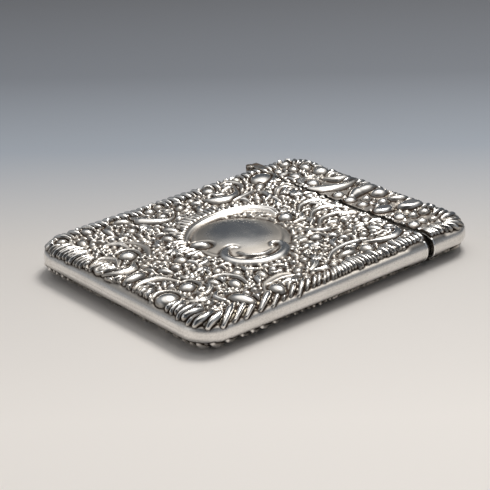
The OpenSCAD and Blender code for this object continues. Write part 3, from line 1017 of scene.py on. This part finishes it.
# ---------------------------------------------------------------- finishes
class Finish:
    """A metal, built up node by node."""

    def __init__(self, name):
        self.material = bpy.data.materials.new(name)
        self.material.use_nodes = True
        self.tree = self.material.node_tree
        self.shader = self.tree.nodes["Principled BSDF"]
        self.shader.inputs["Metallic"].default_value = 1.0
        self.place = self.tree.nodes.new("ShaderNodeTexCoord").outputs["Object"]

    def link(self, value, socket):
        """Sets a socket from another node's output or a plain value."""
        if hasattr(value, "is_output"):
            self.tree.links.new(value, socket)
        else:
            socket.default_value = value

    def math(self, kind, a, b):
        node = self.tree.nodes.new("ShaderNodeMath")
        node.operation = kind
        for value, socket in zip((a, b), node.inputs):
            self.link(value, socket)
        return node.outputs[0]

    def ramp(self, value, low, high, start=0.0, end=1.0):
        """value, taken from between low and high to between start and end, with soft ends."""
        node = self.tree.nodes.new("ShaderNodeMapRange")
        node.interpolation_type = "SMOOTHSTEP"
        for number, socket in zip((value, low, high, start, end), node.inputs):
            self.link(number, socket)
        return node.outputs[0]

    def mix(self, share, a, b):
        """A colour between a and b."""
        node = self.tree.nodes.new("ShaderNodeMix")
        node.data_type = "RGBA"
        self.link(share, node.inputs["Factor"])
        for value, socket in zip((a, b), node.inputs[6:8]):
            self.link((*value, 1.0) if isinstance(value, tuple) else value, socket)
        return node.outputs[2]

    def noise(self, per_mm, detail, stretch=(1, 1, 1), turn=0):
        """Cloudy variation, with so many clouds to the millimetre."""
        mapping = self.tree.nodes.new("ShaderNodeMapping")
        mapping.inputs["Rotation"].default_value = (0, 0, math.radians(turn))
        mapping.inputs["Scale"].default_value = stretch
        self.tree.links.new(self.place, mapping.inputs["Vector"])
        node = self.tree.nodes.new("ShaderNodeTexNoise")
        node.inputs["Scale"].default_value = per_mm / MM
        node.inputs["Detail"].default_value = detail
        self.tree.links.new(mapping.outputs[0], node.inputs["Vector"])
        return node.outputs["Fac"]

    def attribute(self, name):
        node = self.tree.nodes.new("ShaderNodeAttribute")
        node.attribute_name = name
        return node.outputs["Fac"]

    def scratches(self, per_mm, turn):
        """Fine lines across the surface: noise drawn out one way."""
        return self.ramp(self.noise(per_mm, 2.0, (0.02, 1.0, 0.3), turn), 0.60, 0.68)

    def bump(self, height, depth, under=None):
        """Roughens the surface by a height of so many millimetres."""
        node = self.tree.nodes.new("ShaderNodeBump")
        node.inputs["Strength"].default_value = 1.0
        node.inputs["Distance"].default_value = depth * MM
        self.tree.links.new(height, node.inputs["Height"])
        if under is not None:
            self.tree.links.new(under, node.inputs["Normal"])
        return node.outputs[0]

    def done(self, colour, roughness, normal):
        self.link(colour, self.shader.inputs["Base Color"])
        self.link(roughness, self.shader.inputs["Roughness"])
        self.link(normal, self.shader.inputs["Normal"])
        return self.material


SILVER = (0.91, 0.885, 0.85)
TARNISH = (0.055, 0.038, 0.028)


def embossed_silver():
    """Bright on what stands up, and brown-black in the hollows. The lining is dull and yellowed."""
    f = Finish("embossed_silver")
    cloud = f.noise(0.10, 4.0)
    grain = f.noise(2.2, 4.0)
    speckle = f.math("MULTIPLY", f.math("SUBTRACT", grain, 0.5), 0.22)
    dirt = f.ramp(f.math("ADD", f.attribute("hollow"), speckle), 0.46, 0.76)
    band = f.attribute("band")
    low = f.ramp(f.attribute("raised"), 0.72, 0.05, 0.0, 0.85)
    low = f.math("MULTIPLY", low, f.math("SUBTRACT", 1.0, band))
    bloom = f.ramp(cloud, 0.42, 0.70, 0.0, 0.22)
    bright = f.mix(bloom, SILVER, (0.70, 0.66, 0.60))
    dulled = f.mix(low, bright, (0.33, 0.30, 0.262))
    colour = f.mix(dirt, dulled, TARNISH)
    colour = f.mix(f.attribute("inside"), colour, (0.36, 0.32, 0.25))
    rough = f.math("ADD", f.ramp(cloud, 0.3, 0.7, 0.13, 0.20), f.math("MULTIPLY", dirt, 0.34))
    rough = f.math("ADD", rough, f.math("MULTIPLY", low, 0.20))
    rough = f.math("ADD", rough, f.math("MULTIPLY", band, 0.16))
    rough = f.math("MAXIMUM", rough, f.math("MULTIPLY", f.attribute("inside"), 0.5))
    normal = f.bump(f.noise(0.9, 5.0), 0.006)
    return f.done(colour, rough, normal)


def polished_silver():
    """The plain rims: bright, with fine wear."""
    f = Finish("polished_silver")
    cloud = f.noise(0.25, 3.0)
    colour = f.mix(f.ramp(cloud, 0.45, 0.75, 0.0, 0.4), (0.92, 0.91, 0.89), (0.66, 0.61, 0.54))
    scratch = f.math("MAXIMUM", f.scratches(2.0, 80), f.scratches(1.5, 15))
    rough = f.math("ADD", f.ramp(cloud, 0.3, 0.7, 0.12, 0.22), f.math("MULTIPLY", scratch, 0.12))
    normal = f.bump(f.noise(1.1, 3.0), 0.012)
    normal = f.bump(scratch, -0.002, normal)
    return f.done(colour, rough, normal)


def inner_silver():
    """The collar: dull, brown with tarnish and painted near-black as painted shade for the dark gap at the
    mouth, and rubbed along its length by the lid.
    """
    f = Finish("inner_silver")
    cloud = f.noise(0.35, 5.0)
    rubbed = f.ramp(f.noise(1.2, 3.0, (0.06, 1, 1)), 0.52, 0.66)
    # tarnish and painted shade: these near-black colours stand in for the shade inside the gap at the mouth
    colour = f.mix(f.ramp(cloud, 0.35, 0.65), (0.060, 0.052, 0.044), (0.022, 0.018, 0.015))
    colour = f.mix(f.math("MULTIPLY", rubbed, 0.4), colour, (0.20, 0.185, 0.165))
    rough = f.ramp(cloud, 0.3, 0.7, 0.30, 0.52)
    normal = f.bump(f.noise(2.5, 4.0), 0.012)
    return f.done(colour, rough, normal)


def hinge_silver():
    """The hinge's blocks and knuckles: worn, with tarnish in patches."""
    f = Finish("hinge_silver")
    cloud = f.noise(0.6, 4.0)
    colour = f.mix(f.ramp(cloud, 0.38, 0.62), (0.50, 0.47, 0.43), (0.17, 0.13, 0.10))
    rough = f.ramp(cloud, 0.3, 0.7, 0.20, 0.42)
    normal = f.bump(f.noise(1.8, 4.0), 0.02)
    return f.done(colour, rough, normal)


def pin_metal():
    """The pin's hammered ends."""
    f = Finish("pin_metal")
    cloud = f.noise(1.6, 4.0)
    colour = f.mix(f.ramp(cloud, 0.4, 0.65), (0.50, 0.47, 0.42), (0.16, 0.13, 0.10))
    normal = f.bump(f.noise(3.0, 3.0), 0.02)
    return f.done(colour, f.ramp(cloud, 0.3, 0.7, 0.28, 0.45), normal)


FINISHES = {
    "embossed_silver": embossed_silver(),
    "polished_silver": polished_silver(),
    "inner_silver": inner_silver(),
    "hinge_silver": hinge_silver(),
    "pin_metal": pin_metal(),
}


# ---------------------------------------------------------------- the pieces
def make_case():
    """Every piece that shows, on the body that it rides on."""
    body_end = BODY_MOUTH - MOUTH_GAP
    lid_end = LID_MOUTH + MOUTH_GAP
    body_count = COARSE * round((body_end + HALF_U) / GRID / COARSE) + 1
    lid_count = COARSE * round((HALF_U - lid_end) / GRID / COARSE) + 1
    body_columns = np.linspace(-HALF_U, body_end, body_count)
    lid_columns = np.linspace(lid_end, HALF_U, lid_count)
    front = draw_face(HALF_U, HALF_V, CORE_U, CORE_V, FLAT, SEED)
    back = draw_face(HALF_U, HALF_V, CORE_U, CORE_V, FLAT, SEED + 1)
    for face, relief, word in ((1, front, "front"), (-1, back, "back")):
        build_shell(f"body_{word}_shell", relief, body_columns, -1, face, "body")
        build_shell(f"lid_{word}_shell", relief, lid_columns, 1, face, "lid")
    build_rim("body_mouth_rim", -1, "body")
    build_rim("lid_mouth_rim", 1, "lid")
    build_knuckle("body_hinge_knuckle", "body", PIN_RADIUS + PIN_CLEARANCE)
    for word in ("front", "back"):
        build_knuckle(f"lid_hinge_knuckle_{word}", "lid", PIN_RADIUS)
    build_pin()
    build_bearer("body_hinge_bearer", -1, "body")
    for word in ("front", "back"):
        build_bearer(f"lid_hinge_bearer_{word}", 1, "lid")
    collar = frame["nodes"]["body_collar"]
    collar.data.materials.clear()
    collar.data.materials.append(FINISHES["inner_silver"])


# ---------------------------------------------------------------- camera, table and light
AZIMUTH = -41.0           # degrees round the case
ELEVATION = 24.29
ROLL_TILT = -0.962        # degrees by which the camera leans
DISTANCE = 0.4595         # metres from the case's origin
LENS = 119.81             # millimetres, for a sensor 36 wide
SHIFT = (-0.0209, 0.0302)


def camera_axes():
    """Right, up and back of the camera."""
    a, e, lean = (math.radians(d) for d in (AZIMUTH, ELEVATION, ROLL_TILT))
    back = Vector((math.sin(a) * math.cos(e), -math.cos(a) * math.cos(e), math.sin(e)))
    right = Vector((math.cos(a), math.sin(a), 0))
    up = back.cross(right)
    leant_right = right * math.cos(lean) + up * math.sin(lean)
    leant_up = up * math.cos(lean) - right * math.sin(lean)
    return leant_right, leant_up, back


def make_camera():
    """A long lens, at the angle of the portrait."""
    data = bpy.data.cameras.new("camera")
    camera = bpy.data.objects.new("camera", data)
    bpy.context.scene.collection.objects.link(camera)
    right, up, back = camera_axes()
    turned = Matrix((right, up, back)).transposed().to_4x4()
    camera.matrix_world = Matrix.Translation(back * DISTANCE) @ turned
    data.sensor_width = 36.0
    data.lens = LENS
    data.shift_x, data.shift_y = SHIFT
    data.clip_start = 0.01
    data.clip_end = 20.0
    bpy.context.scene.camera = camera


ROUND = math.radians(AZIMUTH)
AWAY = Vector((-math.sin(ROUND), math.cos(ROUND), 0))   # along the table, from the camera
ASIDE = Vector((math.cos(ROUND), math.sin(ROUND), 0))   # along the table, to its right


# The table's colour, by metres behind the case's middle: painted shade, darker and bluer farther back,
# where the light falls off
TABLE_PAINTED_SHADE = [
    (-0.09, (0.90, 0.85, 0.80)),
    (0.01, (0.665, 0.635, 0.605)),
    (0.09, (0.335, 0.365, 0.41)),
    (0.17, (0.185, 0.198, 0.222)),
    (0.30, (0.115, 0.119, 0.129)),
]


def make_table():
    """A pale table whose colour is painted darker and blue-grey behind the case, as painted shade for the
    light's falloff.
    """
    bpy.ops.mesh.primitive_plane_add(size=8.0, location=(0, 0, -0.00002))
    table = bpy.context.object
    table.name = "table"
    material = bpy.data.materials.new("table")
    material.use_nodes = True
    tree = material.node_tree
    shader = tree.nodes["Principled BSDF"]
    shader.inputs["Roughness"].default_value = 0.55
    shader.inputs["Specular IOR Level"].default_value = 0.25
    place = tree.nodes.new("ShaderNodeTexCoord").outputs["Object"]
    along = tree.nodes.new("ShaderNodeVectorMath")
    along.operation = "DOT_PRODUCT"
    tree.links.new(place, along.inputs[0])
    along.inputs[1].default_value = AWAY
    near, far = TABLE_PAINTED_SHADE[0][0], TABLE_PAINTED_SHADE[-1][0]
    ramp = tree.nodes.new("ShaderNodeMapRange")
    ramp.inputs["From Min"].default_value = near
    ramp.inputs["From Max"].default_value = far
    tree.links.new(along.outputs["Value"], ramp.inputs["Value"])
    # painted shade: this ramp darkens the table's colour away from the camera in place of the light's
    # falloff
    shade = tree.nodes.new("ShaderNodeValToRGB")
    stops = shade.color_ramp.elements
    while len(stops) < len(TABLE_PAINTED_SHADE):
        stops.new(0.5)
    for stop, (place, colour) in zip(stops, TABLE_PAINTED_SHADE):
        stop.position = (place - near) / (far - near)
        stop.color = (*colour, 1)
    tree.links.new(ramp.outputs[0], shade.inputs[0])
    tree.links.new(shade.outputs[0], shader.inputs["Base Color"])
    table.data.materials.append(material)


def round_case(elevation, aside, distance):
    """A place round the case: degrees up from behind it, degrees to the right, and metres away."""
    e, s = math.radians(elevation), math.radians(aside)
    flat = AWAY * math.cos(s) + ASIDE * math.sin(s)
    return (flat * math.cos(e) + Vector((0, 0, 1)) * math.sin(e)) * distance


# Soft patches of light in the room: degrees up and aside, degrees of the even middle and of the edge,
# strength and colour
ROOM = [
    (70, 20, 26, 44, 0.95, (1.0, 0.98, 0.95)),         # overhead, a little behind the case
    (22, -112, 6, 26, 0.8, (1.0, 0.98, 0.95)),         # low on the left, in front
    (34, 122, 14, 46, 0.22, (0.95, 0.97, 1.0)),        # to the right, in front
    (30, -60, 12, 44, 0.26, (0.95, 0.97, 1.0)),        # to the left, behind
]
DIM = (0.085, 0.095, 0.11)                             # the room between them
DARK = (58, 172, 18, 32)                               # the dark side, where the camera stands
DARKENED = 0.85                                        # how much of the light it takes away


def make_patch(tree, direction, elevation, aside, inner, outer):
    """How far a direction lies inside a round patch: 1 in its middle and 0 outside it."""
    dot = tree.nodes.new("ShaderNodeVectorMath")
    dot.operation = "DOT_PRODUCT"
    tree.links.new(direction, dot.inputs[0])
    dot.inputs[1].default_value = round_case(elevation, aside, 1.0)
    ramp = tree.nodes.new("ShaderNodeMapRange")
    ramp.interpolation_type = "SMOOTHSTEP"
    ramp.inputs["From Min"].default_value = math.cos(math.radians(outer))
    ramp.inputs["From Max"].default_value = math.cos(math.radians(inner))
    tree.links.new(dot.outputs["Value"], ramp.inputs["Value"])
    return ramp.outputs[0]


def make_room():
    """The studio round the table: soft patches of light on dim blue-grey."""
    world = bpy.data.worlds.new("room")
    bpy.context.scene.world = world
    world.use_nodes = True
    tree = world.node_tree
    direction = tree.nodes.new("ShaderNodeTexCoord").outputs["Generated"]
    light = None
    for elevation, aside, inner, outer, strength, colour in ROOM:
        share = make_patch(tree, direction, elevation, aside, inner, outer)
        scaled = tree.nodes.new("ShaderNodeVectorMath")
        scaled.operation = "SCALE"
        scaled.inputs[0].default_value = [strength * c for c in colour]
        tree.links.new(share, scaled.inputs["Scale"])
        total = tree.nodes.new("ShaderNodeVectorMath")
        total.operation = "ADD"
        tree.links.new(scaled.outputs[0], total.inputs[0])
        if light is None:
            total.inputs[1].default_value = DIM
        else:
            tree.links.new(light, total.inputs[1])
        light = total.outputs[0]
    shade = make_patch(tree, direction, *DARK)
    keep = tree.nodes.new("ShaderNodeMath")
    keep.operation = "MULTIPLY_ADD"
    tree.links.new(shade, keep.inputs[0])
    keep.inputs[1].default_value = -DARKENED
    keep.inputs[2].default_value = 1.0
    dimmed = tree.nodes.new("ShaderNodeVectorMath")
    dimmed.operation = "SCALE"
    tree.links.new(light, dimmed.inputs[0])
    tree.links.new(keep.outputs[0], dimmed.inputs["Scale"])
    tree.links.new(dimmed.outputs[0], tree.nodes["Background"].inputs["Color"])


def make_softbox():
    """A light overhead and a little behind, for the shadows and the brightest lights."""
    data = bpy.data.lights.new("softbox", "AREA")
    data.shape = "RECTANGLE"
    data.size, data.size_y = 0.34, 0.28
    data.energy = 4.6
    data.color = (1.0, 0.985, 0.96)
    light = bpy.data.objects.new("softbox", data)
    bpy.context.scene.collection.objects.link(light)
    light.location = round_case(61, 27, 0.9)
    light.rotation_mode = "QUATERNION"
    light.rotation_quaternion = (-light.location).to_track_quat("-Z", "Y")


bpy.context.scene.view_settings.view_transform = "Standard"
make_camera()
make_table()
make_softbox()
make_room()
make_case()
